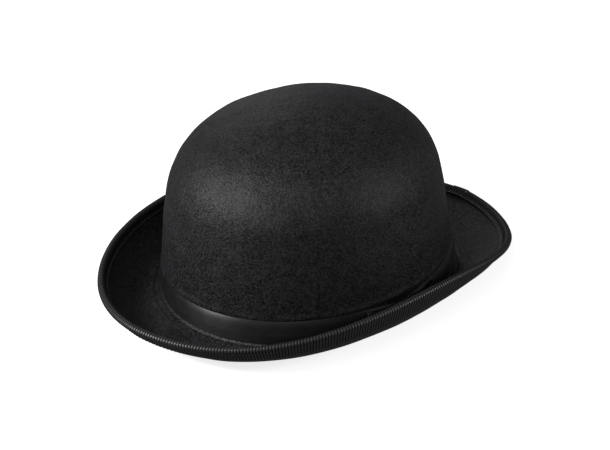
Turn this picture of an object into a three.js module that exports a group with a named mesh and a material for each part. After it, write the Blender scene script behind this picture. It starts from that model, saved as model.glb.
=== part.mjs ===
// Bowler hat: blocked felt crown and brim, bound brim edge, hatband with a flat bow, sweatband and lining.
// Millimetres, +Z up. The hat's front is -Y and the wearer's left is +X. The hat stands on the front and
// back of its brim, and the origin is under the middle of the whole hat.
import * as THREE from "three";

// Driving dimensions of the crown
const CROWN_HALF_LENGTH = 102; // outer face at the brim break, front to back
const CROWN_HALF_WIDTH = 93; // outer face at the brim break, side to side
const FRONT_FULLNESS = 0.04; // how much wider the oval is towards the front
const CROWN_LEAN = 0.019; // the crown's slope towards the back
const BLOCK_RADIUS = 96; // the crown's round section, before it is stretched to the oval
const SIDE_RADIUS = 415; // the section's three arcs, from the brim break to the tip
const SIDE_ANGLE = 0.179; // where each arc ends, as the angle of its face above level
const SHOULDER_RADIUS = 55.1;
const SHOULDER_ANGLE = 1.046;

// Driving dimensions of the brim, each as [at the sides, at the front, at the back]
const BRIM_WIDTH = [35.4, 55.8, 47.7]; // measured along the felt from the break to the cut edge
const BRIM_FLAT = [16, 7, 9]; // the stretch before the roll starts
const BRIM_RISE = [0.7, -0.085, -0.07]; // slope of that stretch, in radians
const BRIM_ROLL = [0.86, 1.13, 0.48]; // how far the roll turns the brim up, in radians
const SHAPE_BLEND = 3; // how quickly the side shape gives way to the front and back
const WIDTH_BLEND = 1.22;
const BREAK_LIFT = 1.5; // the break is higher at the sides than at the front and back

// Material thicknesses and trims
const FELT = 2;
const RIBBON = 0.6;
const SATIN = 0.5;
const GAP = 0.3;
const BREAK_FILLET = 2; // where the inside of the bend at the break starts, up the crown and along the brim
const REST_LEVEL = -2.3; // the level the underside is pressed flat at, below the break
const HEM = 10; // width of the binding under the brim
const BINDING_TOP = 6; // width of the binding on top of the brim
const BINDING_JOIN_ANGLE = Math.PI / 2; // the binding's end laps over its start at the centre back
const WIRE_RADIUS = 0.6;
const BAND_HEIGHT = 18.3;
const BOW_HEIGHT = 11;
const BOW_LOOP_LENGTH = 25;
const BOW_BASE = 5; // height of the bow's lower edge above the break, clear of the rising brim
const KNOT_WIDTH = 9;
const KNOT_THICKNESS = 3.6;
const SWEATBAND_HEIGHT = 32;
const SWEATBAND_LEAN = 0.8; // how far its free upper edge stands in towards the head
const SWEATBAND_GAP = 0.5; // between its sewn edge and the felt, clear of the bend at the break
const SWEATBAND_HEM = 2; // how far its sewn edge turns back up behind the reed
const REED_RADIUS = 0.5;
const REED_UP = 0.2; // height of the reed's middle above the break
const SWEATBAND_BOW_WIDTH = 22;
const SWEATBAND_BOW_BASE = 9;
const LINING_SEAM = 0.9; // run of the seam between the lining's wall and its tip
const LINING_GAP = 0.5; // between the lining and the felt
const AROUND = 48; // facets round the hat

// A point on the felt is named by its run along the section from the crown's tip: 0 to 1 on the tip arc, to
// 2 on the shoulder, to 3 down the side, to 4 round the break, to 5 on the brim's flat stretch, to 6 on its
// roll, and from there in millimetres over the hem, which ends at the felt's cut edge.
const SHOULDER = 1;
const SIDE = 2;
const BREAK = 3;
const FLAT = 4;
const ROLL = 5;
const HEM_START = 6;
const CUT_EDGE = HEM_START + HEM;

const sideEnd = new THREE.Vector2(
  BLOCK_RADIUS - SIDE_RADIUS * (1 - Math.cos(SIDE_ANGLE)),
  SIDE_RADIUS * Math.sin(SIDE_ANGLE),
);
const shoulderCentre = arcPoint(sideEnd, -SHOULDER_RADIUS, SIDE_ANGLE);
const shoulderEnd = arcPoint(shoulderCentre, SHOULDER_RADIUS, SHOULDER_ANGLE);
const tipRadius = shoulderEnd.x / Math.cos(SHOULDER_ANGLE);
const tipCentre = new THREE.Vector2(0, shoulderEnd.y - tipRadius * Math.sin(SHOULDER_ANGLE));
const crownHeight = tipCentre.y + tipRadius;

function arcPoint(centre, radius, angle) {
  return new THREE.Vector2(centre.x + radius * Math.cos(angle), centre.y + radius * Math.sin(angle));
}

// The run of the point on the crown's side at a height above the break.
function sideRun(height) {
  return SIDE + (sideEnd.y - height) / (sideEnd.y - BREAK_FILLET);
}

// The crown's section: how far the oval is scaled, the height, and the angle of the face above level.
function crownSection(run) {
  if (run <= SHOULDER) {
    const face = THREE.MathUtils.lerp(Math.PI / 2, SHOULDER_ANGLE, run);
    const p = arcPoint(tipCentre, tipRadius, face);
    return { scale: p.x / BLOCK_RADIUS, out: 0, up: p.y, face };
  }
  if (run <= SIDE) {
    const face = THREE.MathUtils.lerp(SHOULDER_ANGLE, SIDE_ANGLE, run - SHOULDER);
    const p = arcPoint(shoulderCentre, SHOULDER_RADIUS, face);
    return { scale: p.x / BLOCK_RADIUS, out: 0, up: p.y, face };
  }
  const up = THREE.MathUtils.lerp(sideEnd.y, BREAK_FILLET, run - SIDE);
  const face = Math.asin(up / SIDE_RADIUS);
  const radius = BLOCK_RADIUS - SIDE_RADIUS * (1 - Math.cos(face));
  return { scale: radius / BLOCK_RADIUS, out: 0, up, face };
}

// A brim dimension at an angle round the hat, blended from its side, front and back values.
function blended([side, front, back], t, sharpness) {
  const sideShare = Math.abs(Math.cos(t)) ** sharpness;
  return side * sideShare + (Math.sin(t) < 0 ? front : back) * (1 - sideShare);
}

// The brim's section at an angle: how far out from the break, how far up, and the angle of the face.
function brimSection(t, run) {
  const rise = blended(BRIM_RISE, t, SHAPE_BLEND);
  if (run <= FLAT) {
    const turn = Math.PI / 2 + rise;
    const radius = BREAK_FILLET / Math.tan(turn / 2);
    const face = turn * (run - BREAK);
    const p = arcPoint(new THREE.Vector2(radius, BREAK_FILLET), -radius, face);
    return { scale: 1, out: p.x, up: p.y, face };
  }
  const flat = blended(BRIM_FLAT, t, SHAPE_BLEND);
  const width = blended(BRIM_WIDTH, t, WIDTH_BLEND);
  const bend = blended(BRIM_ROLL, t, SHAPE_BLEND) / (width - flat);
  const along = brimDistance(run, flat, width);
  const straight = Math.min(along, flat);
  const slope = rise + bend * Math.max(0, along - flat);
  return {
    scale: 1,
    out: straight * Math.cos(rise) + (Math.sin(slope) - Math.sin(rise)) / bend,
    up: straight * Math.sin(rise) + (Math.cos(rise) - Math.cos(slope)) / bend,
    face: Math.PI / 2 + slope,
  };
}

// Distance from the break for a run on the brim.
function brimDistance(run, flat, width) {
  if (run <= ROLL) return THREE.MathUtils.lerp(BREAK_FILLET, flat, run - FLAT);
  if (run <= HEM_START) return THREE.MathUtils.lerp(flat, width - HEM, run - ROLL);
  return width - HEM + (run - HEM_START);
}

// The brim break's oval at angle t, with its outward normal in plan.
function ovalAt(t) {
  const c = Math.cos(t);
  const s = Math.sin(t);
  const point = new THREE.Vector2(CROWN_HALF_WIDTH * c * (1 - FRONT_FULLNESS * s), CROWN_HALF_LENGTH * s);
  const across = CROWN_HALF_WIDTH * (FRONT_FULLNESS * (s * s - c * c) - s);
  const normal = new THREE.Vector2(CROWN_HALF_LENGTH * c, -across).normalize();
  return { point, normal, lift: BREAK_LIFT * c * c };
}

// A point at a run and an offset outwards from the felt's outer (on the brim, upper) face.
function onFelt(t, run, offset) {
  const onCrown = run <= BREAK;
  const at = onCrown ? crownSection(run) : brimSection(t, run);
  const { point, normal, lift } = ovalAt(t);
  const rise = onCrown ? at.up - BREAK_FILLET : 0;
  const fade = (1 - rise / (crownHeight - BREAK_FILLET)) ** 2;
  const outward = at.out + offset * Math.cos(at.face);
  return new THREE.Vector3(
    point.x * at.scale + normal.x * outward,
    point.y * at.scale + normal.y * outward + CROWN_LEAN * rise,
    at.up + offset * Math.sin(at.face) + lift * fade,
  );
}

// A point given by its distances out from and up from the brim break.
function atBreak(t, out, up) {
  const { point, normal, lift } = ovalAt(t);
  return new THREE.Vector3(point.x + normal.x * out, point.y + normal.y * out, up + lift);
}

// A solid all round the hat: a lathe of its section, with each vertex moved to its place on the oval. It goes
// round clockwise seen from above, and the section is listed outer face first, from the crown outwards.
function wrapRound(section, place) {
  const geometry = new THREE.LatheGeometry(section, AROUND);
  const position = geometry.getAttribute("position");
  for (let i = 0; i < position.count; i++) {
    const t = 2 * Math.PI * (1 - Math.floor(i / section.length) / AROUND);
    const { x, y } = section[i % section.length];
    const p = place(t, x, y);
    position.setXYZ(i, p.x, p.y, p.z);
  }
  return geometry;
}

// A short strip laid on a curved face: place takes how far along, up and out of the strip a point is, 0 to 1.
function layStrip(segments, place) {
  const geometry = new THREE.BoxGeometry(1, 1, 1, segments, 1, 1);
  const position = geometry.getAttribute("position");
  for (let i = 0; i < position.count; i++) {
    const p = place(position.getX(i) + 0.5, position.getY(i) + 0.5, position.getZ(i) + 0.5);
    position.setXYZ(i, p.x, p.y, p.z);
  }
  return geometry;
}

function piece(name, geometry, look) {
  const part = new THREE.Mesh(geometry, new THREE.MeshStandardMaterial(look));
  part.name = name;
  return part;
}

// Points on a circular arc in a section, both ends included.
function arcPoints(x, y, radius, from, to, steps) {
  const centre = new THREE.Vector2(x, y);
  return Array.from({ length: steps + 1 }, (_, k) =>
    arcPoint(centre, radius, THREE.MathUtils.lerp(from, to, k / steps)),
  );
}

// A strip between two offsets along a list of runs, as a closed section.
function strip(runs, outer, inner) {
  const face = runs.map((run) => new THREE.Vector2(run, outer));
  const back = runs.map((run) => new THREE.Vector2(run, inner)).reverse();
  return [...face, ...back];
}

function closed(section) {
  return [...section, section[0].clone()];
}

const FELT_LOOK = { color: 0x17171a, roughness: 0.95, metalness: 0 };
const SATIN_LOOK = { color: 0x1b1b1f, roughness: 0.4, metalness: 0 };
const GROSGRAIN_LOOK = { color: 0x1a1a1c, roughness: 0.6, metalness: 0 };
const LINING_LOOK = { color: 0x202024, roughness: 0.45, metalness: 0 };
const SWEATBAND_LOOK = { color: 0x141414, roughness: 0.6, metalness: 0 };
const WIRE_LOOK = { color: 0x8c8c90, roughness: 0.4, metalness: 1 };
const REED_LOOK = { color: 0xd8d8d4, roughness: 0.4, metalness: 0 };

// Where the sections are sampled, closer together where they bend more
const tipRuns = [0, 0.35, 0.7];
const crownRuns = [SHOULDER, 1.25, 1.5, 1.75, SIDE, 2.33, 2.66];
const topHemRuns = [CUT_EDGE - BINDING_TOP, CUT_EDGE - BINDING_TOP / 2, CUT_EDGE];
const hemRuns = [HEM_START, (HEM_START + CUT_EDGE - BINDING_TOP) / 2, ...topHemRuns];
const brimRuns = [BREAK, 3.5, FLAT, 4.4, ROLL, 5.12, 5.35, 5.65, ...hemRuns];

// Crown and brim, blocked from one piece of felt and pressed flat where the hat stands.
function feltBody() {
  const section = strip([...tipRuns, ...crownRuns, ...brimRuns], 0, -FELT);
  return wrapRound(section, (t, run, offset) => {
    const p = onFelt(t, run, offset);
    p.z = Math.max(p.z, REST_LEVEL);
    return p;
  });
}

function hatband() {
  return wrapRound(closed(strip([sideRun(BAND_HEIGHT), BREAK], GAP + SATIN, GAP)), onFelt);
}

// The ribbed ribbon folded over the brim's edge. Its end laps over its start, so it is thicker there.
function brimBinding() {
  const fold = CUT_EDGE + WIRE_RADIUS;
  const middle = -FELT / 2;
  const inner = FELT / 2 + GAP;
  const outer = inner + RIBBON;
  const quarter = Math.PI / 2;
  const across = (runs, offset) => runs.map((run) => new THREE.Vector2(run, offset));
  const section = closed([
    ...across(topHemRuns, middle + outer),
    ...arcPoints(fold, middle, outer, quarter, -quarter, 4),
    ...across([...hemRuns].reverse(), middle - outer),
    ...across(hemRuns, middle - inner),
    ...arcPoints(fold, middle, inner, -quarter, quarter, 3),
    ...across([...topHemRuns].reverse(), middle + inner),
  ]);
  const facet = (2 * Math.PI) / AROUND;
  return wrapRound(section, (t, run, offset) => {
    const isOuter = Math.abs(offset - middle) > inner + RIBBON / 2 || run > fold + inner + RIBBON / 2;
    const lapped = isOuter && Math.abs(t - BINDING_JOIN_ANGLE) < facet;
    const away = new THREE.Vector2(Math.max(0, run - fold), offset - middle).setLength(RIBBON);
    return lapped ? onFelt(t, run + away.x, offset + away.y) : onFelt(t, run, offset);
  });
}

function brimWire() {
  const ring = arcPoints(CUT_EDGE + GAP + WIRE_RADIUS, -FELT / 2, WIRE_RADIUS, 2 * Math.PI, 0, 6);
  return wrapRound(ring, onFelt);
}

// One loop of the flat bow on the wearer's left, towards the front (-1) or the back (1). It is narrow at
// the knot, full in the middle and thin at its far fold.
const bowFace = GAP + SATIN + GAP;

function bowLoop(direction) {
  const root = KNOT_WIDTH / 2 + GAP;
  const narrowing = 1.5;
  const thin = 1;
  const fullness = 2.4;
  const swell = 0.8 * Math.PI; // puts the fullest point nearer to the knot than to the fold
  return layStrip(6, (along, up, out) => {
    const fromKnot = direction > 0 ? along : 1 - along;
    const t = (direction * (root + BOW_LOOP_LENGTH * fromKnot)) / CROWN_HALF_LENGTH;
    const inset = narrowing * (1 - fromKnot) ** 2;
    const height = BOW_BASE + THREE.MathUtils.lerp(inset, BOW_HEIGHT - inset, up);
    const full = thin + fullness * Math.sin(swell * (1 - fromKnot));
    return onFelt(t, sideRun(height), bowFace + out * full);
  });
}

function bowKnot() {
  return layStrip(2, (along, up, out) =>
    onFelt(
      (KNOT_WIDTH * (along - 0.5)) / CROWN_HALF_LENGTH,
      sideRun(BOW_BASE + BOW_HEIGHT * up),
      bowFace + KNOT_THICKNESS * out,
    ),
  );
}

// The reed lies in a fold at the sweatband's sewn edge, and the band stands up inside the crown.
const foldInner = REED_RADIUS + GAP;
const foldOuter = foldInner + SATIN;
const reedOut = -(FELT + SWEATBAND_GAP + foldOuter);

function sweatband() {
  const hemTop = REED_UP + SWEATBAND_HEM;
  const topOut = reedOut - foldOuter - SWEATBAND_LEAN;
  const section = closed([
    new THREE.Vector2(reedOut + foldOuter, hemTop),
    ...arcPoints(reedOut, REED_UP, foldOuter, 0, -Math.PI, 4),
    new THREE.Vector2(topOut, SWEATBAND_HEIGHT),
    new THREE.Vector2(topOut + SATIN, SWEATBAND_HEIGHT),
    ...arcPoints(reedOut, REED_UP, foldInner, -Math.PI, 0, 3),
    new THREE.Vector2(reedOut + foldInner, hemTop),
  ]);
  return wrapRound(section, atBreak);
}

function sweatbandReed() {
  return wrapRound(arcPoints(reedOut, REED_UP, REED_RADIUS, 2 * Math.PI, 0, 6), atBreak);
}

// A small flat bow over the sweatband's seam, at the back of the head. It is narrowest in the middle.
function sweatbandBow() {
  const halfHeight = 4;
  const waist = 2.2;
  const thickness = 1.2;
  const faceOut = reedOut - foldOuter - SWEATBAND_LEAN - GAP;
  return layStrip(6, (along, up, out) => {
    const side = 2 * along - 1;
    const t = Math.PI / 2 - (side * SWEATBAND_BOW_WIDTH) / 2 / (CROWN_HALF_WIDTH + faceOut);
    const half = THREE.MathUtils.lerp(waist, halfHeight, Math.sqrt(Math.abs(side)));
    const height = SWEATBAND_BOW_BASE + halfHeight + THREE.MathUtils.lerp(-half, half, up);
    return atBreak(t, faceOut - thickness * out, height);
  });
}

const liningOuter = -(FELT + LINING_GAP);

function liningWall() {
  const bottom = sideRun(2 * BREAK_FILLET);
  const runs = [LINING_SEAM, ...crownRuns, bottom];
  return wrapRound(closed(strip(runs, liningOuter, liningOuter - SATIN)), onFelt);
}

function liningTip() {
  const face = liningOuter - SATIN - GAP;
  const runs = [...tipRuns, (1 + LINING_SEAM) / 2];
  return wrapRound(strip(runs, face, face - SATIN), onFelt);
}

const hat = new THREE.Group();
hat.add(
  piece("felt_body", feltBody(), FELT_LOOK),
  piece("hatband", hatband(), SATIN_LOOK),
  piece("bow_front_loop", bowLoop(-1), SATIN_LOOK),
  piece("bow_rear_loop", bowLoop(1), SATIN_LOOK),
  piece("bow_knot", bowKnot(), SATIN_LOOK),
  piece("brim_binding", brimBinding(), GROSGRAIN_LOOK),
  piece("brim_wire", brimWire(), WIRE_LOOK),
  piece("sweatband", sweatband(), SWEATBAND_LOOK),
  piece("sweatband_reed", sweatbandReed(), REED_LOOK),
  piece("sweatband_bow", sweatbandBow(), GROSGRAIN_LOOK),
  piece("lining_wall", liningWall(), LINING_LOOK),
  piece("lining_tip", liningTip(), LINING_LOOK),
);

// The origin is under the middle of the hat, on the surface it stands on.
const extent = new THREE.Box3().setFromObject(hat);
const middle = extent.getCenter(new THREE.Vector3());
hat.position.set(-middle.x, -middle.y, -extent.min.z);

export default hat;
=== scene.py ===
"""Bowler hat: the looks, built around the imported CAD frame.

The hat's sections are the CAD's, worked out again here from the same driving dimensions so that the meshes
can be fine. Shapes are worked out in millimetres in the hat's own frame, whose origin is the middle of the
brim break; its front is -Y and the wearer's left is +X. solid() puts them in metres in the row frame.
"""

import math

import bmesh
import bpy
import numpy as np
from mathutils import Matrix, Vector


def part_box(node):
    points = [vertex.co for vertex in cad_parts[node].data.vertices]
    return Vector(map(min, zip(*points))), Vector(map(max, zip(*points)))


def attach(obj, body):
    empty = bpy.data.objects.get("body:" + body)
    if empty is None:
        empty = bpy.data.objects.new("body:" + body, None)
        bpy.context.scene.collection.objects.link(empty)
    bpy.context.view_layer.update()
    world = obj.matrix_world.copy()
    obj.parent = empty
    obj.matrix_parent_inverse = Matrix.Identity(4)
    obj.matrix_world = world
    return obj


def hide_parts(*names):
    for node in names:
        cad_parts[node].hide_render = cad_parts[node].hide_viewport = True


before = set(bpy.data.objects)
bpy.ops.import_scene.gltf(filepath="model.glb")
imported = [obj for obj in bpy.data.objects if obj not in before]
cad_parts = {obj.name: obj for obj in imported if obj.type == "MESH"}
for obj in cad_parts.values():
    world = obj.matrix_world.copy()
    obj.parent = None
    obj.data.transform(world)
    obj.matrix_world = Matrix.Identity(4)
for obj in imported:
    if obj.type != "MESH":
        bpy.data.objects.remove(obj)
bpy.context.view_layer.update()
MM = 0.001

# The felt's sections, as in the CAD
CROWN_HALF_LENGTH = 102
CROWN_HALF_WIDTH = 93
FRONT_FULLNESS = 0.04
CROWN_LEAN = 0.019
BLOCK_RADIUS = 96
SIDE_RADIUS = 415
SIDE_ANGLE = 0.179
SHOULDER_RADIUS = 55.1
SHOULDER_ANGLE = 1.046
BRIM_WIDTH = (35.4, 55.8, 47.7)  # at the sides, at the front, at the back, as the next three
BRIM_FLAT = (16, 7, 9)
BRIM_RISE = (0.7, -0.085, -0.07)
BRIM_ROLL = (0.86, 1.13, 0.48)
SHAPE_BLEND = 3
WIDTH_BLEND = 1.22
BREAK_LIFT = 1.5
BREAK_FILLET = 2
REST_LEVEL = -2.3
FELT = 2

# The felt's relief, by distances from the break: up the crown, or out along the brim
PINCH_FROM = 20.5  # the hatband presses the felt in below this height, and fully below the next one
PINCH_FULL = 17.5
PINCH_DEPTH = 0.35
SWELL_AT = 20.2
SWELL_SPREAD = 1.7
SWELL_HEIGHT = 0.5
CREASE = 4.4  # the sweatband's seam
CREASE_SPREAD = 0.9
CREASE_DEPTH = 0.5
RIDGE_OUT = 1.9  # from the crease to the ridge outside it
RIDGE_SPREAD = 1.0
RIDGE_HEIGHT = 0.4
FINE_BELOW = 24  # the mesh is finer below this height on the crown, and up to this run on the brim
FINE_UP_TO = 4.25

# Hatband and its bow
BAND_FOOT = 2.3
BAND_TOP = 18.3
BAND_THICKNESS = 0.45
BAND_BELLY = 1.2  # how far the ribbon stands off between its edges
BELLY_AT = 0.45  # where it does so most, as a share of its height
BELLY_FALL = 3.4
BEHIND_BOW_SLACK = 0.9
SLACK_AT = 0.75
SLACK_SPREAD = 0.4
BAND_DIP = 3.2  # how far the bow pulls the band's upper edge down
DIP_SPREAD = 0.2
STRAIN = (0.05, 0.08)  # depth of the strain marks away from the bow, and what the bow adds
STRAIN_SPREAD = 0.5
BOW_FOOT = 5
BOW_TOP = 17.2
BOW_MIDDLE = (BOW_TOP + BOW_FOOT) / 2
BOW_HALF_HEIGHT = (BOW_TOP - BOW_FOOT) / 2
BOW_REACH = 30  # from the middle of the knot to the far fold of a loop
BOW_RISE = 3
BOW_OUT = 1.75  # where a loop's two layers meet, outwards from the felt, as BOW_LOWEST
BOW_BACK_DROP = 0.75
BOW_LOWEST = 0.62
BOW_CLEAR = 0.35
LOOP_START = 0.12  # the part of a loop's turn that the knot hides
LOOP_WAIST = 0.55  # a loop's height at the knot, as a share of its height further out
LOOP_FULL = (10, 28)
LOOP_THICKNESS = 0.4
GATHER_LENGTH = 5.5
GATHER_DEPTH = 0.32
LOOP_FOLD = 0.5
KNOT_HALF_WIDTH = 5.2
KNOT_HALF_HEIGHT = BOW_HALF_HEIGHT - 2
KNOT_OUT = 2.35
KNOT_HALF_DEPTH = 1.75
KNOT_LOWEST = 0.7
KNOT_CLEAR = 0.2
KNOT_WAIST = 0.16
KNOT_FOLD = 0.28
KNOT_THICKNESS = 0.44

# Binding
BINDING_ON_TOP = 5.4
BINDING_UNDER = 10
BINDING_THICKNESS = 0.55
BINDING_GAP = 0.05
RIB_PITCH = 2
RIB_HEIGHT = 0.2
RIB_ROUNDNESS = 0.8
RIBS_FROM = (0.7, 1.3)  # distances from the ribbon's edge where its ribs start, and have their full height
FINE_RIBS = (2.5, 1)  # how much closer the ribs of the sweatband's small bow are
SELVEDGE = 0.45  # how far the ribbon's woven edge stands up
SELVEDGE_SLOPE = (1.3, 0.6)
SELVEDGE_WIDTH = 0.9
RIM_BEAD = 0.85  # how much the wire swells the binding at the rim
BEAD_FROM = 3.4
BEAD_FULL = 0.3
BINDING_PULL = 0.06
LAP_FROM = math.radians(89.4)
LAP_TO = math.radians(94.5)
LAP_RAISED = BINDING_THICKNESS * 0.8
STITCH_INSET = 1.1

# Sweatband and lining
REED_OUT = -4.1
REED_UP = 0.2
REED_FOLD = 1.05  # radius of the sweatband's fold round the reed
SWEATBAND_TOP = 32
SWEATBAND_THICKNESS = 0.5
SWEATBAND_HEM = 2.6
SWEATBAND_LEAN = 0.8
SWEATBAND_SWAY = 0.35
SWEATBAND_FACE = REED_OUT - REED_FOLD - SWEATBAND_THICKNESS / 2
HEM_STITCHES_UP = 3.4
SEAM_STITCHES_DEEP = 0.4
SMALL_BOW_FACE = SWEATBAND_FACE - SWEATBAND_LEAN
SMALL_BOW_HALF_LENGTH = 11
SMALL_BOW_HALF_HEIGHT = (2.7, 4.8)  # at its knot, at its ends
SMALL_BOW_PLEAT = 0.2
SMALL_KNOT_HALF_HEIGHT = 2.4
SMALL_KNOT_HALF_WIDTH = 1.9
SMALL_KNOT_OUT = 1.0
SMALL_KNOT_HALF_DEPTH = 0.75
GATHERS = 84
LINING_SEAM = 0.9
LINING_FOOT = 4
LINING_FACES = (-2.95, -2.6)  # offsets from the felt's outer face, as the next one
LINING_TIP_FACES = (-3.95, -3.6)
LINING_TIP_END = 0.96
LINING_TIP_SAG = 0.5
LINING_STITCHES_RUN = 0.925
LINING_STITCHES_DEEP = 4.0

# Places on the felt, named by their run along its section from the crown's tip
SHOULDER = 1
SIDE = 2
BREAK = 3
BRIM = 4
CUT_EDGE = 5

SIDE_END_RADIUS = BLOCK_RADIUS - SIDE_RADIUS * (1 - math.cos(SIDE_ANGLE))
SIDE_END_UP = SIDE_RADIUS * math.sin(SIDE_ANGLE)
SHOULDER_CENTRE = SIDE_END_RADIUS - SHOULDER_RADIUS * math.cos(SIDE_ANGLE)
SHOULDER_CENTRE_UP = SIDE_END_UP - SHOULDER_RADIUS * math.sin(SIDE_ANGLE)
TIP_RADIUS = SHOULDER_RADIUS + SHOULDER_CENTRE / math.cos(SHOULDER_ANGLE)
TIP_CENTRE_UP = SHOULDER_CENTRE_UP + (SHOULDER_RADIUS - TIP_RADIUS) * math.sin(SHOULDER_ANGLE)
CROWN_HEIGHT = TIP_CENTRE_UP + TIP_RADIUS

# The hat frame's origin in the row frame: over the middle of the reed's ring, and the crown's height
# below its tip
reed_low, reed_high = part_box("sweatband_reed")
ORIGIN = Vector((0, (reed_low.y + reed_high.y) / 2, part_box("felt_body")[1].z - CROWN_HEIGHT * MM))


# ---------------------------------------------------------------- the felt's shape


def lerp(a, b, share):
    return a + (b - a) * share


def smooth_step(x, low, high):
    x = np.clip((x - low) / (high - low), 0, 1)
    return x * x * (3 - 2 * x)


def hill(x, middle, spread):
    """1 at the middle, falling smoothly to 0 on both sides."""
    return np.exp(-(((x - middle) / spread) ** 2))


def unit(vectors):
    return vectors / np.linalg.norm(vectors, axis=-1, keepdims=True)


def ripple(points, depth, wavelength, seed):
    """Smooth seeded unevenness of about that depth, a sum of waves in every direction."""
    waves = 28
    random = np.random.default_rng(seed)
    directions = unit(random.normal(size=(waves, 3)))
    directions *= (2 * math.pi / wavelength / random.uniform(0.7, 1.5, waves))[:, None]
    phases = random.uniform(0, 2 * math.pi, waves)
    return depth * (np.sin(points @ directions.T + phases).sum(-1) / math.sqrt(waves / 2))


def blended(values, t, sharpness):
    """A brim dimension at angle t, from its side, front and back values."""
    side, front, back = values
    side_share = np.abs(np.cos(t)) ** sharpness
    return side * side_share + np.where(np.sin(t) < 0, front, back) * (1 - side_share)


def crown_section(run):
    """The crown's section: the oval's scale, the height, and the angle of the face above level."""
    tip_face = lerp(math.pi / 2, SHOULDER_ANGLE, run)
    shoulder_face = lerp(SHOULDER_ANGLE, SIDE_ANGLE, run - SHOULDER)
    side_up = lerp(SIDE_END_UP, BREAK_FILLET, run - SIDE)
    side_face = np.arcsin(np.clip(side_up / SIDE_RADIUS, -1, 1))
    where = [run <= SHOULDER, run <= SIDE]
    radius = np.select(
        where,
        [TIP_RADIUS * np.cos(tip_face), SHOULDER_CENTRE + SHOULDER_RADIUS * np.cos(shoulder_face)],
        BLOCK_RADIUS - SIDE_RADIUS * (1 - np.cos(side_face)),
    )
    shoulder_up = SHOULDER_CENTRE_UP + SHOULDER_RADIUS * np.sin(shoulder_face)
    up = np.select(where, [TIP_CENTRE_UP + TIP_RADIUS * np.sin(tip_face), shoulder_up], side_up)
    return radius / BLOCK_RADIUS, up, np.select(where, [tip_face, shoulder_face], side_face)


def brim_section(t, run):
    """The brim's section: how far out from the break, how far up, and the angle of the face."""
    rise = blended(BRIM_RISE, t, SHAPE_BLEND)
    turn = math.pi / 2 + rise
    bend_radius = BREAK_FILLET / np.tan(turn / 2)
    bend_face = turn * (run - BREAK)
    flat = blended(BRIM_FLAT, t, SHAPE_BLEND)
    width = blended(BRIM_WIDTH, t, WIDTH_BLEND)
    curl = blended(BRIM_ROLL, t, SHAPE_BLEND) / (width - flat)
    along = lerp(BREAK_FILLET, width, run - BRIM)
    straight = np.minimum(along, flat)
    slope = rise + curl * np.maximum(0, along - flat)
    brim_out = straight * np.cos(rise) + (np.sin(slope) - np.sin(rise)) / curl
    brim_up = straight * np.sin(rise) + (np.cos(rise) - np.cos(slope)) / curl
    bends = run <= BRIM
    out = np.where(bends, bend_radius * (1 - np.cos(bend_face)), brim_out)
    up = np.where(bends, BREAK_FILLET - bend_radius * np.sin(bend_face), brim_up)
    return out, up, np.where(bends, bend_face, math.pi / 2 + slope)


def oval(t):
    """The brim break's oval: x, y and the outward normal's x and y."""
    c, s = np.cos(t), np.sin(t)
    across, along = CROWN_HALF_LENGTH * c, -CROWN_HALF_WIDTH * (FRONT_FULLNESS * (s * s - c * c) - s)
    size = np.hypot(across, along)
    x, y = CROWN_HALF_WIDTH * c * (1 - FRONT_FULLNESS * s), CROWN_HALF_LENGTH * s
    return x, y, across / size, along / size


def on_felt(t, run, offset):
    """The point at angle t and a run, offset outwards from the felt's outer (on the brim, upper) face."""
    t, run, offset = np.broadcast_arrays(*(np.asarray(v, float) for v in (t, run, offset)))
    x, y, normal_x, normal_y = oval(t)
    on_crown = run <= BREAK
    scale, crown_up, crown_face = crown_section(np.minimum(run, BREAK))
    brim_out, brim_up, brim_face = brim_section(t, np.maximum(run, BREAK))
    up = np.where(on_crown, crown_up, brim_up)
    face = np.where(on_crown, crown_face, brim_face)
    scale = np.where(on_crown, scale, 1)
    climb = np.where(on_crown, up - BREAK_FILLET, 0)
    fade = (1 - climb / (CROWN_HEIGHT - BREAK_FILLET)) ** 2
    outward = np.where(on_crown, 0, brim_out) + offset * np.cos(face)
    lift = BREAK_LIFT * np.cos(t) ** 2 * fade
    return np.stack(
        [
            x * scale + normal_x * outward,
            y * scale + normal_y * outward + CROWN_LEAN * climb,
            up + offset * np.sin(face) + lift,
        ],
        -1,
    )


def at_break(t, out, up):
    """The point at angle t, by its distances out from and up from the brim break."""
    t, out, up = np.broadcast_arrays(*(np.asarray(v, float) for v in (t, out, up)))
    x, y, normal_x, normal_y = oval(t)
    return np.stack([x + normal_x * out, y + normal_y * out, up + BREAK_LIFT * np.cos(t) ** 2], -1)


def side_run(height):
    """The run of the point on the crown's side at a height over the break."""
    return SIDE + (SIDE_END_UP - height) / (SIDE_END_UP - BREAK_FILLET)


def edge_run(t, inset):
    """The run of the point on the brim at a distance in from its cut edge."""
    return CUT_EDGE - inset / (blended(BRIM_WIDTH, t, WIDTH_BLEND) - BREAK_FILLET)


def rim(t):
    return on_felt(t, edge_run(t, 0.0), 0.0)


def from_left(t):
    """The angle t counted from the wearer's left, between -pi and pi."""
    return np.angle(np.exp(1j * t))


# ---------------------------------------------------------------- meshes


def grid_faces(rows, columns, wrap_rows, wrap_columns):
    """Quads of a grid of vertices numbered row by row, and each corner's place in the unwrapped grid."""
    row_starts = np.arange(rows - (not wrap_rows))
    column_starts = np.arange(columns - (not wrap_columns))
    i, j = np.meshgrid(row_starts, column_starts, indexing="ij")
    corners = np.stack([np.stack([i + a, j + b], -1) for a, b in ((0, 0), (1, 0), (1, 1), (0, 1))], 2)
    corners = corners.reshape(-1, 4, 2)
    quads = (corners[..., 0] % rows) * columns + corners[..., 1] % columns
    return quads, corners


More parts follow.
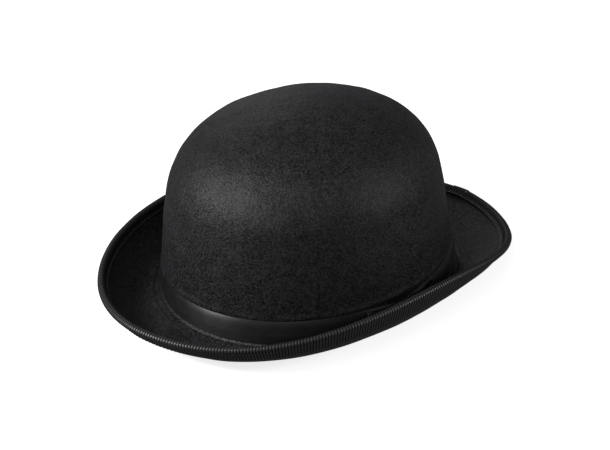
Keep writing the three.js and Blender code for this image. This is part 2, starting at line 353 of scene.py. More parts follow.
def solid(name, points, look, closed_row=True, wrap_section=True, flat=None):
    """A closed mesh from points[row, place in the section]. Rows go round the hat, or end in caps if not
    closed_row. Points that coincide are merged, so a section may end at a pole. flat gives each grid point's
    place on the flat ribbon in millimetres, one row and one place longer than points where they wrap."""
    rows, columns = points.shape[:2]
    quads, corners = grid_faces(rows, columns, closed_row, wrap_section)
    faces = quads.tolist()
    if not closed_row:
        faces += [list(range(columns)), list(range((rows - 1) * columns, rows * columns))[::-1]]
    mesh = bpy.data.meshes.new(name)
    mesh.from_pydata((points.reshape(-1, 3) * MM + np.array(ORIGIN)).tolist(), [], faces)
    if flat is not None:
        layer = mesh.uv_layers.new(name="flat")
        values = np.zeros((len(mesh.loops), 2))
        values[: corners.shape[0] * 4] = flat[corners[..., 0], corners[..., 1]].reshape(-1, 2)
        layer.data.foreach_set("uv", values.ravel())
    return finished(name, mesh, look)


def finished(name, mesh, look):
    """Merges what coincides, turns the faces outwards, and makes the object, which rides on the hat."""
    shape = bmesh.new()
    shape.from_mesh(mesh)
    bmesh.ops.remove_doubles(shape, verts=shape.verts, dist=1e-7)
    bmesh.ops.recalc_face_normals(shape, faces=shape.faces)
    if shape.calc_volume(signed=True) < 0:
        bmesh.ops.reverse_faces(shape, faces=shape.faces)
    shape.to_mesh(mesh)
    shape.free()
    mesh.polygons.foreach_set("use_smooth", [True] * len(mesh.polygons))
    mesh.materials.append(look)
    piece = bpy.data.objects.new(name, mesh)
    bpy.context.scene.collection.objects.link(piece)
    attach(piece, "root")
    return piece


def around(steps):
    return np.linspace(0, 2 * math.pi, steps, endpoint=False)


def close_poles(points):
    """Brings both ends of all the sections together in one point each."""
    for end in (0, -1):
        points[:, end] = points[:, end].mean(0)


def path_lengths(points):
    return np.concatenate([[0], np.cumsum(np.linalg.norm(np.diff(points, axis=0), axis=1))])


def flat_map(points, closed_row=True):
    """Each grid point's distances along the rows and round the section, measured on the first ones."""
    loop = np.concatenate([points, points[:1]]) if closed_row else points
    along = path_lengths(loop[:, 0])
    across = path_lengths(np.concatenate([points[0], points[0][:1]]))
    return np.stack(np.meshgrid(along, across, indexing="ij"), -1)


def even_angles(place, pitch, per_pitch=1):
    """Angles round the hat at even distances of about the pitch along place(t), and how many pitches."""
    t = np.linspace(0, 2 * math.pi, 2881)
    lengths = path_lengths(place(t))
    count = round(lengths[-1] / pitch)
    return np.interp(np.arange(count * per_pitch) * lengths[-1] / (count * per_pitch), lengths, t), count


def stitch_row(name, place, look, pitch, length, radius):
    """A row of thread stitches all round. place(t, lift) is the point at a lift over the surface."""
    angles, count = even_angles(lambda t: place(t, 0.0), pitch)
    perimeter = path_lengths(place(np.linspace(0, 2 * math.pi, 721), 0.0))[-1]
    spread = length / perimeter * 2 * math.pi
    rings, sides = 6, 6
    share = np.linspace(0, 1, rings)
    swell = np.sin(math.pi * share) ** 0.5
    t = angles[:, None] + spread * (share - 0.5)
    centre = place(t, radius * (1.5 * swell - 0.9))  # its ends dive under the surface
    nearby = 1e-4
    tangent = unit(place(t + nearby, 0.0) - place(t - nearby, 0.0))
    lift = place(t, 1.0) - place(t, 0.0)
    lift = unit(lift - (lift * tangent).sum(-1, keepdims=True) * tangent)
    aside = np.cross(tangent, lift)
    turn = around(sides)
    ring = np.cos(turn)[:, None] * lift[:, :, None] + np.sin(turn)[:, None] * aside[:, :, None]
    points = centre[:, :, None] + ring * (radius * swell)[:, None, None]
    quads, _ = grid_faces(rings, sides, False, True)
    faces = (quads[None] + (np.arange(count) * rings * sides)[:, None, None]).reshape(-1, 4)
    mesh = bpy.data.meshes.new(name)
    mesh.from_pydata((points.reshape(-1, 3) * MM + np.array(ORIGIN)).tolist(), [], faces.tolist())
    return finished(name, mesh, look)


def ribbon_section(middle, normal, half_thickness):
    """The closed section of a ribbon with rounded edges, from its middle line and that line's normals."""
    along = unit(np.gradient(middle, axis=0))
    face = middle + normal * half_thickness
    back = (middle - normal * half_thickness)[::-1]
    turn = np.linspace(0, math.pi, 5)[1:-1, None]
    end = middle[-1] + half_thickness * (np.cos(turn) * normal[-1] + np.sin(turn) * along[-1])
    start = middle[0] + half_thickness * (-np.cos(turn) * normal[0] - np.sin(turn) * along[0])
    return np.concatenate([face, end, back, start])


def flat_profile(steps, thickness):
    """The section of a flat ribbon: its share across from -1 to 1, how far its rounded edges go beyond
    that, and its place through the thickness."""
    across = np.linspace(-1, 1, steps)
    middle = np.stack([across, 0 * across], -1)
    profile = ribbon_section(middle, np.stack([0 * across, 0 * across + 1], -1), thickness / 2)
    share = np.clip(profile[:, 0], -1, 1)
    return share, profile[:, 0] - share, profile[:, 1]


# ---------------------------------------------------------------- materials


def new_material(name):
    material = bpy.data.materials.new(name)
    material.use_nodes = True
    tree = material.node_tree
    tree.nodes.clear()
    output = tree.nodes.new("ShaderNodeOutputMaterial")
    shader = tree.nodes.new("ShaderNodeBsdfPrincipled")
    tree.links.new(shader.outputs[0], output.inputs["Surface"])
    return material, tree, shader


def add(tree, kind, inputs, **settings):
    made = tree.nodes.new("ShaderNode" + kind)
    for key, value in settings.items():
        setattr(made, key, value)
    for socket, value in inputs.items():
        if isinstance(value, bpy.types.NodeSocket):
            tree.links.new(value, made.inputs[socket])
        else:
            made.inputs[socket].default_value = value
    return made


def link(tree, shader, **sockets):
    for name, value in sockets.items():
        tree.links.new(value, shader.inputs[name.replace("_", " ")])


def math_node(tree, operation, a, b=0.0):
    return add(tree, "Math", {0: a, 1: b}, operation=operation).outputs[0]


def mixed(tree, a, a_share, b, b_share):
    scaled = [math_node(tree, "MULTIPLY", *pair) for pair in ((a, a_share), (b, b_share))]
    return math_node(tree, "ADD", *scaled)


def millimetres(tree):
    """The point on the object, in millimetres."""
    place = add(tree, "TexCoord", {}).outputs["Object"]
    return add(tree, "VectorMath", {0: place, "Scale": 1 / MM}, operation="SCALE").outputs[0]


def noise(tree, place, size, detail=2.0):
    return add(tree, "TexNoise", {"Vector": place, "Scale": 1 / size, "Detail": detail}).outputs["Fac"]


def fibres(tree, place, patch, length, width):
    """Short fibres lying every way: noise drawn out in a direction that changes from patch to patch."""
    cells = add(tree, "TexVoronoi", {"Vector": place, "Scale": 1 / patch}).outputs["Color"]
    turn = add(tree, "VectorMath", {0: cells, "Scale": 2 * math.pi}, operation="SCALE").outputs[0]
    turned = add(tree, "VectorRotate", {"Vector": place, "Rotation": turn}, rotation_type="EULER_XYZ")
    stretch = {0: turned.outputs[0], 1: (1 / length, 1 / width, 1 / width)}
    drawn = add(tree, "VectorMath", stretch, operation="MULTIPLY").outputs[0]
    return noise(tree, drawn, size=1.0, detail=3.0)


def ramp(tree, value, low, high, dark, light):
    """A colour that goes from dark to light as the value goes from low to high."""
    made = add(tree, "ValToRGB", {"Fac": value})
    stops = made.color_ramp.elements
    stops[0].position, stops[0].color = low, (*dark, 1)
    stops[1].position, stops[1].color = high, (*light, 1)
    return made.outputs["Color"]


def bump(tree, height, depth, under=None, strength=1.0):
    """A bump of that depth in millimetres, on top of another."""
    inputs = {"Height": height, "Distance": depth * MM, "Strength": strength}
    if under is not None:
        inputs["Normal"] = under
    return add(tree, "Bump", inputs).outputs[0]


def range_node(tree, value, low, high):
    return add(tree, "MapRange", {"Value": value, "To Min": low, "To Max": high}).outputs[0]


def felt_material():
    material, tree, shader = new_material("wool_felt")
    place = millimetres(tree)
    long_fibres = fibres(tree, place, patch=3.4, length=2.9, width=1.0)
    short_fibres = fibres(tree, place, patch=1.9, length=1.5, width=0.8)
    blotches = noise(tree, place, size=9.0, detail=3.0)
    shift = math_node(tree, "MULTIPLY", math_node(tree, "SUBTRACT", blotches, 0.5), 0.1)
    nap = mixed(tree, long_fibres, 0.5, short_fibres, 0.5)
    tone = math_node(tree, "ADD", nap, shift)
    shader.inputs["Specular IOR Level"].default_value = 0.34
    shader.inputs["Sheen Weight"].default_value = 0.02
    shader.inputs["Sheen Roughness"].default_value = 0.4
    shader.inputs["Sheen Tint"].default_value = (0.8, 0.85, 1.0, 1)
    normal = bump(tree, noise(tree, place, size=5.0), depth=0.25)
    normal = bump(tree, long_fibres, depth=0.2, under=normal)
    normal = bump(tree, short_fibres, depth=0.45, under=normal)
    link(
        tree,
        shader,
        Base_Color=ramp(
            tree, tone, low=0.435, high=0.585, dark=(0.0002, 0.0002, 0.0002), light=(0.041, 0.041, 0.0445)
        ),
        Roughness=range_node(tree, nap, low=0.52, high=0.35),
        Normal=normal,
    )
    return material


def flat_place(tree):
    """Distances along and across the ribbon, in millimetres."""
    split = add(tree, "SeparateXYZ", {"Vector": add(tree, "UVMap", {}, uv_map="flat").outputs[0]})
    return split.outputs["X"], split.outputs["Y"]


def threads(tree, along, across, length, width):
    """Fine threads along the ribbon."""
    stretch = {"X": math_node(tree, "DIVIDE", along, length), "Y": math_node(tree, "DIVIDE", across, width)}
    return noise(tree, add(tree, "CombineXYZ", stretch).outputs[0], size=1.0, detail=3.0)


def satin_material(name, dark, light, roughness):
    material, tree, shader = new_material(name)
    along, across = flat_place(tree)
    weave = threads(tree, along, across, length=9.0, width=0.22)
    cloud = noise(tree, millimetres(tree), size=9.0)
    shader.inputs["Anisotropic"].default_value = 0.65
    shader.inputs["Anisotropic Rotation"].default_value = 0.25
    shader.inputs["Specular IOR Level"].default_value = 0.7
    tone = mixed(tree, weave, 0.6, cloud, 0.4)
    link(
        tree,
        shader,
        Base_Color=ramp(tree, tone, low=0.35, high=0.65, dark=dark, light=light),
        Roughness=range_node(tree, cloud, low=roughness - 0.05, high=roughness + 0.06),
        Normal=bump(tree, weave, depth=0.03, under=bump(tree, cloud, depth=0.15)),
        Tangent=add(tree, "Tangent", {}, direction_type="UV_MAP", uv_map="flat").outputs[0],
    )
    return material


def grosgrain_material():
    material, tree, shader = new_material("ribbed_ribbon")
    along, across = flat_place(tree)
    weft = threads(tree, across, along, length=5.0, width=0.3)
    warp = threads(tree, along, across, length=4.0, width=0.35)
    fuzz = noise(tree, millimetres(tree), size=1.2, detail=3.0)
    phase = math_node(tree, "MULTIPLY", along, math.pi / RIB_PITCH)
    rib = math_node(tree, "ABSOLUTE", math_node(tree, "SINE", phase))
    selvedge = math_node(tree, "LESS_THAN", across, SELVEDGE_WIDTH)
    rib = math_node(tree, "MAXIMUM", rib, selvedge)
    # Painted shade: the rib pattern makes the base colour darker in the grooves between the ribs. The woven
    # edge has no ribs and keeps the crests' colour. The weft threads and fuzz add real grain. Roughness and
    # specular level follow the same pattern, and the specular level of 0 in the grooves keeps reflections
    # out of them.
    tone = mixed(tree, math_node(tree, "ADD", weft, fuzz), 0.3, rib, 0.4)
    link(
        tree,
        shader,
        Base_Color=ramp(
            tree, tone, low=0.4, high=0.75, dark=(0.0005, 0.0005, 0.0005), light=(0.032, 0.032, 0.034)
        ),
        Roughness=range_node(tree, rib, low=0.75, high=0.42),
        Specular_IOR_Level=range_node(tree, rib, low=0.0, high=1.0),
        Normal=bump(tree, warp, depth=0.05, under=bump(tree, weft, depth=0.05)),
    )
    return material


def leather_material():
    material, tree, shader = new_material("leather_cloth")
    place = millimetres(tree)
    pebbles = add(tree, "TexVoronoi", {"Vector": place, "Scale": 1.1}, feature="DISTANCE_TO_EDGE")
    creases = range_node(tree, pebbles.outputs["Distance"], low=0.0, high=1.0)
    wear = noise(tree, place, size=22.0, detail=4.0)
    shader.inputs["Specular IOR Level"].default_value = 0.45
    color = ramp(tree, wear, low=0.35, high=0.7, dark=(0.012, 0.011, 0.011), light=(0.028, 0.025, 0.023))
    roughness = range_node(tree, wear, low=0.42, high=0.62)
    soft = bump(tree, noise(tree, place, size=4.0), depth=0.15)
    normal = bump(tree, creases, depth=0.12, under=soft, strength=0.8)
    link(tree, shader, Base_Color=color, Roughness=roughness, Normal=normal)
    return material


def thread_material():
    material, tree, shader = new_material("sewing_thread")
    twist = noise(tree, millimetres(tree), size=0.3)
    link(
        tree,
        shader,
        Base_Color=ramp(
            tree, twist, low=0.3, high=0.7, dark=(0.016, 0.016, 0.018), light=(0.05, 0.05, 0.055)
        ),
        Roughness=range_node(tree, twist, low=0.45, high=0.65),
        Normal=bump(tree, twist, depth=0.05),
    )
    return material


def wire_material():
    material, tree, shader = new_material("drawn_wire")
    drawn = noise(tree, millimetres(tree), size=0.4, detail=3.0)
    shader.inputs["Metallic"].default_value = 1.0
    link(
        tree,
        shader,
        Base_Color=ramp(tree, drawn, low=0.3, high=0.7, dark=(0.38, 0.38, 0.40), light=(0.56, 0.56, 0.58)),
        Roughness=range_node(tree, drawn, low=0.25, high=0.4),
    )
    return material


def reed_material():
    material, tree, shader = new_material("clear_reed")
    cloud = noise(tree, millimetres(tree), size=2.0)
    link(
        tree,
        shader,
        Base_Color=ramp(tree, cloud, low=0.3, high=0.7, dark=(0.62, 0.62, 0.58), light=(0.76, 0.76, 0.72)),
        Roughness=range_node(tree, cloud, low=0.25, high=0.4),
    )
    return material


def floor_material():
    material, tree, shader = new_material("pale_floor")
    shader.inputs["Specular IOR Level"].default_value = 0.0
    shader.inputs["Emission Color"].default_value = (1, 1, 1, 1)
    shader.inputs["Emission Strength"].default_value = 0.8
    shade = noise(tree, millimetres(tree), size=400.0)
    link(
        tree,
        shader,
        Base_Color=ramp(tree, shade, low=0.3, high=0.7, dark=(0.86, 0.86, 0.86), light=(0.88, 0.88, 0.88)),
        Roughness=range_node(tree, shade, low=0.9, high=1.0),
    )
    return material


# ---------------------------------------------------------------- camera, light and floor

VIEW_AZIMUTH = math.radians(49.8)
VIEW_ELEVATION = math.radians(29.09)
VIEW_ROLL = math.radians(-2.75)
VIEW_DISTANCE = 1.8
AIM_ASIDE = -0.0027  # where the middle of the picture is, from the middle of the brim break
AIM_UP = 0.0327
LENS = 156.4
SENSOR = 36


def direction(azimuth, elevation):
    """From the hat towards that azimuth and elevation, in radians; azimuth 0 is the hat's front."""
    level = math.cos(elevation)
    return Vector((math.sin(azimuth) * level, -math.cos(azimuth) * level, math.sin(elevation)))


def make_camera():
    back = direction(VIEW_AZIMUTH, VIEW_ELEVATION)
    right = Vector((math.cos(VIEW_AZIMUTH), math.sin(VIEW_AZIMUTH), 0))
    up = back.cross(right)
    right, up = (
        right * math.cos(VIEW_ROLL) + up * math.sin(VIEW_ROLL),
        up * math.cos(VIEW_ROLL) - right * math.sin(VIEW_ROLL),
    )
    place = ORIGIN + back * VIEW_DISTANCE
    back = (place - (ORIGIN + right * AIM_ASIDE + up * AIM_UP)).normalized()
    right = up.cross(back).normalized()
    camera = bpy.data.objects.new("camera", bpy.data.cameras.new("camera"))
    camera.data.lens = LENS
    camera.data.sensor_width = SENSOR
    camera.data.clip_start = 0.05
    camera.data.clip_end = 50
    turn = Matrix((right, back.cross(right), back)).transposed()
    camera.matrix_world = Matrix.Translation(place) @ turn.to_4x4()
    bpy.context.scene.collection.objects.link(camera)
    bpy.context.scene.camera = camera


def softbox(name, azimuth, elevation, distance, size, power):
    """A square soft light at that side of the hat, in degrees and metres, aimed at the crown."""
    aim = ORIGIN + Vector((0, 0, CROWN_HEIGHT * MM / 2))
    towards = direction(math.radians(azimuth), math.radians(elevation))
    light = bpy.data.objects.new(name, bpy.data.lights.new(name, "AREA"))
    light.data.shape = "SQUARE"
    light.data.size = size
    light.data.energy = power
    light.location = aim + towards * distance
    light.rotation_mode = "QUATERNION"
    light.rotation_quaternion = towards.to_track_quat("Z", "Y")
    bpy.context.scene.collection.objects.link(light)


def make_lights():
    softbox("key_light", azimuth=-26, elevation=31, distance=1.5, size=0.36, power=17.5)
    softbox("side_light", azimuth=126, elevation=20, distance=1.5, size=0.35, power=5.5)
    softbox("back_light", azimuth=-118, elevation=18, distance=1.8, size=0.5, power=1)
    softbox("front_fill", azimuth=40, elevation=52, distance=1.8, size=1.2, power=4)
    world = bpy.data.worlds.new("studio")
    world.use_nodes = True
    world.node_tree.nodes["Background"].inputs["Color"].default_value = (1, 1, 1, 1)
    world.node_tree.nodes["Background"].inputs["Strength"].default_value = 0.1
    bpy.context.scene.world = world
    bpy.context.scene.view_settings.view_transform = "Standard"


def make_floor():
    half = 6.0
    low = -0.0002  # just clear of the hat, which stands at 0
    mesh = bpy.data.meshes.new("floor")
    corners = [(-half, -half, low), (half, -half, low), (half, half, low), (-half, half, low)]
    mesh.from_pydata(corners, [], [(0, 1, 2, 3)])
    mesh.materials.append(floor_material())
    floor = bpy.data.objects.new("floor", mesh)
    bpy.context.scene.collection.objects.link(floor)
    floor.visible_glossy = False  # its glare and bounce would wash out the black felt
    floor.visible_diffuse = False


# ---------------------------------------------------------------- pieces


def felt_relief(t, run, points):
    """How far the felt's outer face stands proud of its section: soft unevenness, the pinch under the
    hatband with the swell above it, and the crease where the sweatband is sewn through."""
    height = lerp(SIDE_END_UP, BREAK_FILLET, run - SIDE)
    on_side = (run > SIDE) & (run <= BREAK)
    on_bend = (run > BREAK) & (run < BRIM)
    pinch = np.where(on_side, smooth_step(height, PINCH_FROM, PINCH_FULL), 0) + on_bend
    swell = np.where(on_side, hill(height, SWELL_AT, SWELL_SPREAD), 0)
    width = blended(BRIM_WIDTH, t, WIDTH_BLEND)
    along = lerp(BREAK_FILLET, width, run - BRIM) + ripple(points, depth=0.25, wavelength=25, seed=5)
    on_brim = run > BRIM
    crease = np.where(on_brim, hill(along, CREASE, CREASE_SPREAD), 0)
    ridge = np.where(on_brim, hill(along - CREASE, RIDGE_OUT, RIDGE_SPREAD), 0)
    soft = ripple(points, depth=0.12, wavelength=30, seed=1)
    soft = soft + ripple(points, depth=0.05, wavelength=14, seed=2)
    return soft - PINCH_DEPTH * pinch + SWELL_HEIGHT * swell - CREASE_DEPTH * crease + RIDGE_HEIGHT * ridge


def felt_body(look):
    t = around(420)[:, None]
    outer_runs = np.concatenate(
        [
            np.linspace(0, SHOULDER, 26)[:-1],
            np.linspace(SHOULDER, SIDE, 22)[:-1],
            np.linspace(SIDE, side_run(FINE_BELOW), 13)[:-1],
            side_run(np.linspace(FINE_BELOW, BREAK_FILLET, 19)),
            np.linspace(BREAK, BRIM, 6)[1:],
            lerp(BRIM, FINE_UP_TO, np.linspace(0, 1, 11))[1:],
            np.linspace(FINE_UP_TO, CUT_EDGE, 26)[1:],
        ]
    )
    inner_runs = outer_runs[::-2]
    outer = on_felt(t, outer_runs, 0.0)
    outer = on_felt(t, outer_runs, felt_relief(t, outer_runs, outer))
    inner = on_felt(t, inner_runs, -FELT)
    inner = on_felt(t, inner_runs, -FELT + ripple(inner, depth=0.08, wavelength=22, seed=4))
    points = np.concatenate([outer, inner], 1)
    close_poles(points)
    points[..., 2] = np.maximum(points[..., 2], REST_LEVEL)
    piece = solid("felt_crown_and_brim", points, look, wrap_section=False)
    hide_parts("felt_body")


def band_middle(t, height):
    """Offset of the hatband's middle surface: tight at its edges, fuller between, with soft strain marks."""
    share = (height - BAND_FOOT) / (BAND_TOP - BAND_FOOT)
    fall = 1 - np.clip((share - BELLY_AT) / (1 - BELLY_AT), 0, 1) ** BELLY_FALL
    slack = 1 + BEHIND_BOW_SLACK * hill(t, SLACK_AT, SLACK_SPREAD)
    belly = BAND_BELLY * slack * smooth_step(share, -0.1, BELLY_AT) * fall
    place = on_felt(t, side_run(height), 0.0) * (0.35, 0.35, 1.0)  # drawn out, so the marks lie level
    away, by_bow = STRAIN
    depth = away + by_bow * hill(from_left(t), 0, STRAIN_SPREAD)
    strain = ripple(place, depth, wavelength=11, seed=7)
    return 0.1 + belly + strain * np.sin(math.pi * np.clip(share, 0, 1))


def hatband(look):
    t = around(540)[:, None]
    steps = 19
    half = BAND_THICKNESS / 2
    heights = np.linspace(BAND_FOOT, BAND_TOP, steps)
    edge = np.linspace(0, math.pi, 5)[1:-1]
    over, under = BAND_TOP + half * np.sin(edge), BAND_FOOT - half * np.sin(edge)
    up = np.concatenate([heights, over, heights[::-1], under])
    face, back = np.full(steps, half), np.full(steps, -half)
    side = np.concatenate([face, half * np.cos(edge), back, -half * np.cos(edge)])
    offset = band_middle(t, np.clip(up, BAND_FOOT, BAND_TOP)) + side
    dip = BAND_DIP * hill(from_left(t), 0, DIP_SPREAD) * smooth_step(up, BAND_FOOT, BAND_TOP)
    points = on_felt(t, side_run(up - dip), offset)
    piece = solid("satin_hatband", points, look, flat=flat_map(points))
    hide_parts("hatband")
    return piece


def bow_loop(name, node, side, look):
    """A loop of the bow: a ribbon that goes out from the knot, folds back, and lies on the band."""
    turn = np.linspace(LOOP_START, 2 * math.pi - LOOP_START, 97)
    in_front = turn < math.pi
    reach = BOW_REACH / 2 * (1 - np.cos(turn))
    front = BOW_OUT + BOW_RISE * np.sin(turn) * np.sin(turn / 2)
    back = BOW_OUT - BOW_BACK_DROP * np.sqrt(np.clip(-np.sin(turn), 0, 1))
    path = np.stack([reach, np.where(in_front, front, back)], -1)
    along = unit(np.gradient(path, axis=0))
    normal = np.stack([-along[:, 1], along[:, 0]], -1)
    share, beyond, through = flat_profile(13, LOOP_THICKNESS)
    flare = lerp(LOOP_WAIST, 1, smooth_step(reach, *LOOP_FULL))[:, None]
    height = BOW_MIDDLE + share * BOW_HALF_HEIGHT * flare + beyond
    gathers = GATHER_DEPTH * np.cos(share * 3 * math.pi) * np.exp(-reach / GATHER_LENGTH)[:, None]
    fold = LOOP_FOLD * (share * 0.5 + 0.5) ** 2 * np.sin(turn)[:, None].clip(0)
    lift = through + np.where(in_front, 1, 0.2)[:, None] * (gathers + fold)
    aside = path[:, :1] + normal[:, :1] * lift
    out = np.maximum(path[:, 1:] + normal[:, 1:] * lift, BOW_LOWEST)
    points = on_felt(side * aside / CROWN_HALF_LENGTH, side_run(height), out + BOW_CLEAR)
    piece = solid(name, points, look, closed_row=False, flat=flat_map(points, False))
    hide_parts(node)
    return piece


def bow_knot(look):
    """The ribbon wrapped over the middle of the bow, with soft folds across it."""
    turn = around(64)
    c, s = np.cos(turn)[:, None], np.sin(turn)[:, None]
    share, beyond, through = flat_profile(15, KNOT_THICKNESS)
    fold = KNOT_FOLD * np.cos(share * 2.6 * math.pi + 0.6 * s)
    lift = through + fold * smooth_step(s, -0.2, 0.6) - 0.5 * share**2
    height = BOW_MIDDLE + (KNOT_HALF_HEIGHT + lift * 0.6) * np.sign(c) * np.abs(c) ** 0.55
    out = KNOT_OUT + (KNOT_HALF_DEPTH + lift) * np.sign(s) * np.abs(s) ** 0.7
    waist = 1 - KNOT_WAIST * np.sqrt(np.clip(1 - np.abs(c), 0, 1))
    angle = (share * KNOT_HALF_WIDTH * waist + beyond) / CROWN_HALF_LENGTH
    points = on_felt(angle, side_run(height), np.maximum(out, KNOT_LOWEST) + KNOT_CLEAR)
    piece = solid("satin_bow_knot", points, look, flat=flat_map(points))
    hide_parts("bow_knot")
    return piece


def binding_path():
    """The ribbon's middle line over the edge, as inset from the cut edge and offset, with its normals."""
    radius = FELT / 2 + BINDING_GAP + BINDING_THICKNESS / 2
    bead = radius + RIM_BEAD
    top = np.linspace(BINDING_ON_TOP, 0, 12)[:-1, None]
    fold = np.linspace(math.pi / 2, -math.pi / 2, 11)[:, None]
    under = np.linspace(0, BINDING_UNDER, 10)[1:, None]
    middle = np.concatenate(
        [
            np.hstack([top, radius + RIM_BEAD * smooth_step(top, BEAD_FROM, BEAD_FULL)]),
            np.hstack([-bead * np.cos(fold), bead * np.sin(fold)]),
            np.hstack([under, -radius - RIM_BEAD * smooth_step(under, BEAD_FROM, BEAD_FULL)]),
        ]
    )
    along = unit(np.gradient(middle, axis=0))
    return middle, np.stack([along[:, 1], -along[:, 0]], -1)


def binding_points(t, phase, raised=0.0):
    """The binding's points at angles t, where the ribs have that phase, and places across the ribbon."""
    middle, normal = binding_path()
    half = BINDING_THICKNESS / 2
    middle = middle + normal * raised
    lengths = path_lengths(middle)
    middle = middle + normal * (SELVEDGE * smooth_step(lengths, *SELVEDGE_SLOPE))[:, None]
    face = middle + normal * half
    coarser = slice(None, None, -6)
    back = (middle - normal * half)[coarser]
    ribbed = smooth_step(lengths, *RIBS_FROM) * smooth_step(lengths[-1] - lengths, *RIBS_FROM)
    ribs = RIB_HEIGHT * (np.abs(np.sin(math.pi * phase))[:, None] ** RIB_ROUNDNESS - 0.5) * ribbed
    pull = ripple(rim(t), BINDING_PULL, wavelength=35, seed=11)[:, None]
    ribbed_face = face[None] + normal[None] * (ribs + pull)[..., None]
    lifted = np.concatenate([ribbed_face, np.broadcast_to(back, (len(t), *back.shape))], 1)
    points = on_felt(t[:, None], edge_run(t[:, None], lifted[..., 0]), lifted[..., 1] - FELT / 2)
    return points, np.concatenate([lengths, lengths[coarser], [0]])


def brim_binding(look):
    per_rib = 6
    t, _ = even_angles(rim, RIB_PITCH, per_rib)
    phase = np.arange(len(t) + 1) / per_rib
    points, across = binding_points(t, phase[:-1])
    flat = np.stack(np.meshgrid(phase * RIB_PITCH, across, indexing="ij"), -1)
    piece = solid("grosgrain_binding", points, look, flat=flat)
    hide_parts("brim_binding")
    return piece


def binding_lap(look):
    """The binding's end, laid over its start at the back."""
    length = (LAP_TO - LAP_FROM) * np.linalg.norm(rim(np.array(math.pi / 2))[:2])
    t = np.linspace(LAP_FROM, LAP_TO, 40)
    phase = np.linspace(0, length / RIB_PITCH, len(t))
    points, across = binding_points(t, phase, LAP_RAISED)
    flat = np.stack(np.meshgrid(phase * RIB_PITCH, across, indexing="ij"), -1)
    return solid("binding_lap", points, look, closed_row=False, flat=flat)


def binding_stitches(look):
    clear = BINDING_THICKNESS + RIB_HEIGHT / 2

    def on_top(t, lift):
        return on_felt(t, edge_run(t, BINDING_ON_TOP - STITCH_INSET), clear + lift)

    def under(t, lift):
        return on_felt(t, edge_run(t, BINDING_UNDER - STITCH_INSET), -FELT - clear - lift)

    stitch_row("binding_stitches_top", on_top, look, pitch=3.0, length=2.3, radius=0.2)
    stitch_row("binding_stitches_under", under, look, pitch=3.0, length=2.3, radius=0.2)


def seam_stitches(look):
    """The thread that sews the sweatband in, showing on top of the brim in its crease."""

    def place(t, lift):
        run = BRIM + (CREASE - BREAK_FILLET) / (blended(BRIM_WIDTH, t, WIDTH_BLEND) - BREAK_FILLET)
        return on_felt(t, run, lift - SEAM_STITCHES_DEEP)

    stitch_row("sweatband_seam_stitches", place, look, pitch=4.2, length=3.0, radius=0.22)


def sweatband(look):
    """Leather cloth folded round the reed at its sewn edge, standing up inside the crown."""
    turn = np.linspace(0, -math.pi, 11)
    hem_up = np.linspace(REED_UP + SWEATBAND_HEM, REED_UP, 5)[:-1]
    hem = np.stack([np.full(4, REED_OUT + REED_FOLD), hem_up], -1)
    fold = np.stack([REED_OUT + REED_FOLD * np.cos(turn), REED_UP + REED_FOLD * np.sin(turn)], -1)
    rise = np.linspace(0, 1, 15)[1:]
    lean = REED_OUT - REED_FOLD - SWEATBAND_LEAN * rise**1.5
    middle = np.concatenate([hem, fold, np.stack([lean, lerp(REED_UP, SWEATBAND_TOP, rise)], -1)])
    along = unit(np.gradient(middle, axis=0))
    section = ribbon_section(middle, np.stack([along[:, 1], -along[:, 0]], -1), SWEATBAND_THICKNESS / 2)
    t = around(360)
    sway = ripple(at_break(t, REED_OUT, 0), SWEATBAND_SWAY, wavelength=60, seed=21)[:, None]
    sway = sway * smooth_step(section[:, 1], 8, SWEATBAND_TOP)
    points = at_break(t[:, None], section[:, 0] + np.minimum(sway, 0.3), section[:, 1])
    piece = solid("leather_sweatband", points, look, flat=flat_map(points))
    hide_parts("sweatband")
    return piece


def sweatband_edge_stitches(look):
    def place(t, lift):
        return at_break(t, SWEATBAND_FACE - lift, REED_UP + HEM_STITCHES_UP)

    stitch_row("sweatband_hem_stitches", place, look, pitch=3.4, length=2.5, radius=0.2)


def small_bow_up():
    """The height of the small bow's middle over the break."""
    low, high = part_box("sweatband_bow")
    return ((low.z + high.z) / 2 - ORIGIN.z) / MM


def sweatband_bow(look):
    """The small ribbon bow over the sweatband's seam, at the back."""
    turn = around(96)
    share, _, through = flat_profile(11, 0.28)
    reach = SMALL_BOW_HALF_LENGTH * np.sin(turn)
    waist = np.abs(np.sin(turn)) ** 0.6
    in_front = np.cos(turn) > 0
    stand = np.where(in_front, 0.75 + 0.6 * np.abs(np.sin(2 * turn)), 0.3)[:, None]
    pleat = SMALL_BOW_PLEAT * np.cos(share * 3 * math.pi) * (1 - waist)[:, None]
    facing = np.sign(np.cos(turn) + 1e-6)[:, None]  # its two end folds count as the front
    lift = stand + through * facing + pleat * in_front[:, None]
    angle = math.pi / 2 - reach[:, None] / (CROWN_HALF_WIDTH + SMALL_BOW_FACE)
    height = small_bow_up() + share * lerp(*SMALL_BOW_HALF_HEIGHT, waist)[:, None]
    points = at_break(angle, SMALL_BOW_FACE - np.maximum(lift, 0.05), height)
    piece = solid("sweatband_ribbon_bow", points, look, flat=flat_map(points) * FINE_RIBS)
    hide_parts("sweatband_bow")
    return piece


def sweatband_bow_knot(look):
    turn = around(40)
    c, s = np.cos(turn)[:, None], np.sin(turn)[:, None]
    share, _, through = flat_profile(9, 0.32)
    lift = through + 0.1 * np.cos(share * 2 * math.pi)
    height = small_bow_up() + (SMALL_KNOT_HALF_HEIGHT + lift) * c
    out = SMALL_BOW_FACE - SMALL_KNOT_OUT - (SMALL_KNOT_HALF_DEPTH + lift) * s
    angle = math.pi / 2 - share * SMALL_KNOT_HALF_WIDTH / (CROWN_HALF_WIDTH + SMALL_BOW_FACE)
    points = at_break(angle, out, height)
    return solid("sweatband_bow_knot", points, look, flat=flat_map(points) * FINE_RIBS)


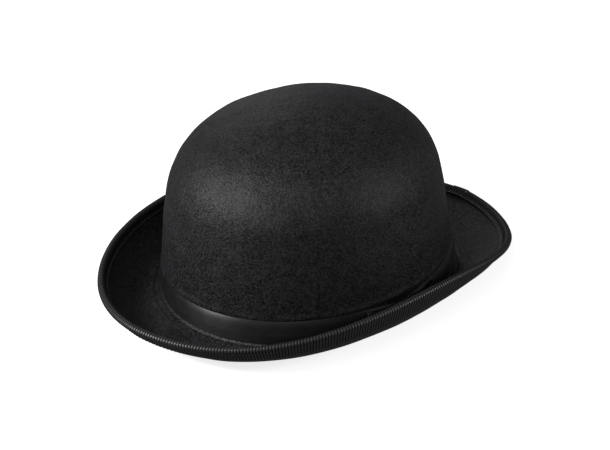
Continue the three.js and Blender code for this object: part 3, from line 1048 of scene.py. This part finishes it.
def gather_depth(t, run):
    """How far the lining's wall stands in from the felt in its gathers, which deepen towards the tip."""
    depth = smooth_step(run, 2.9, 1.2) * smooth_step(run, LINING_SEAM - 0.05, 1.25)
    wander = 0.35 * np.sin(3 * t + 1.0) + 0.3 * np.sin(7 * t + 2.0) + 0.25 * np.sin(run * 2.2 + 5 * t)
    fold = 0.5 + 0.5 * np.sin(GATHERS * t + wander * 4)
    second = 0.5 + 0.5 * np.sin(GATHERS * 0.5 * t + 2 * wander + 1.3)
    return depth * (0.95 * fold**1.5 + 0.5 * second)


def lining_wall(look):
    t = around(1008)[:, None]
    upper, lower = np.linspace(LINING_SEAM, SIDE, 22), np.linspace(SIDE, side_run(LINING_FOOT), 18)
    runs = np.concatenate([upper, lower[1:]])
    inner, outer = (
        on_felt(t, way, face - gather_depth(t, way)) for way, face in zip((runs, runs[::-1]), LINING_FACES)
    )
    points = np.concatenate([inner, outer], 1)
    piece = solid("satin_lining_wall", points, look, flat=flat_map(points))
    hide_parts("lining_wall")
    return piece


def lining_tip(look):
    t = around(240)[:, None]
    runs = np.linspace(0, LINING_TIP_END, 30)
    share = runs / LINING_TIP_END
    uneven = ripple(on_felt(t, runs, -3.9), depth=0.18, wavelength=26, seed=31)
    sag = LINING_TIP_SAG * (1 - share**4) + uneven * np.sin(math.pi * np.clip(share, 0, 1))
    face, back = LINING_TIP_FACES
    inner = on_felt(t, runs, face - sag)
    outer = on_felt(t, runs[::-1], back - sag[:, ::-1])
    points = np.concatenate([inner, outer], 1)
    close_poles(points)
    flat = np.concatenate([points, points[:1]])[..., :2]
    piece = solid("satin_lining_tip", points, look, wrap_section=False, flat=flat)
    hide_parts("lining_tip")
    return piece


def lining_seam_stitches(look):
    def place(t, lift):
        return on_felt(t, LINING_STITCHES_RUN, -LINING_STITCHES_DEEP - lift)

    stitch_row("lining_seam_stitches", place, look, pitch=4.0, length=2.6, radius=0.2)


def carried_over(node, look):
    """Gives a CAD piece its final look."""
    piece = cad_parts[node]
    piece.data.materials.clear()
    piece.data.materials.append(look)


# ---------------------------------------------------------------- assembly

make_camera()
make_lights()
make_floor()

felt_look = felt_material()
satin_look = satin_material("black_satin", (0.005, 0.005, 0.0055), (0.014, 0.014, 0.0155), roughness=0.42)
lining_look = satin_material("lining_satin", (0.022, 0.022, 0.026), (0.05, 0.05, 0.058), roughness=0.38)
ribbed_look = grosgrain_material()
leather_look = leather_material()
thread_look = thread_material()

felt_body(felt_look)
band = hatband(satin_look)
front_loop = bow_loop("satin_bow_front_loop", "bow_front_loop", -1, satin_look)
rear_loop = bow_loop("satin_bow_rear_loop", "bow_rear_loop", 1, satin_look)
knot = bow_knot(satin_look)
binding = brim_binding(ribbed_look)
lap = binding_lap(ribbed_look)
binding_stitches(thread_look)
seam_stitches(thread_look)
band_inside = sweatband(leather_look)
sweatband_edge_stitches(thread_look)
small_bow = sweatband_bow(ribbed_look)
small_knot = sweatband_bow_knot(ribbed_look)
wall = lining_wall(lining_look)
tip = lining_tip(lining_look)
lining_seam_stitches(thread_look)
carried_over("brim_wire", wire_material())
carried_over("sweatband_reed", reed_material())
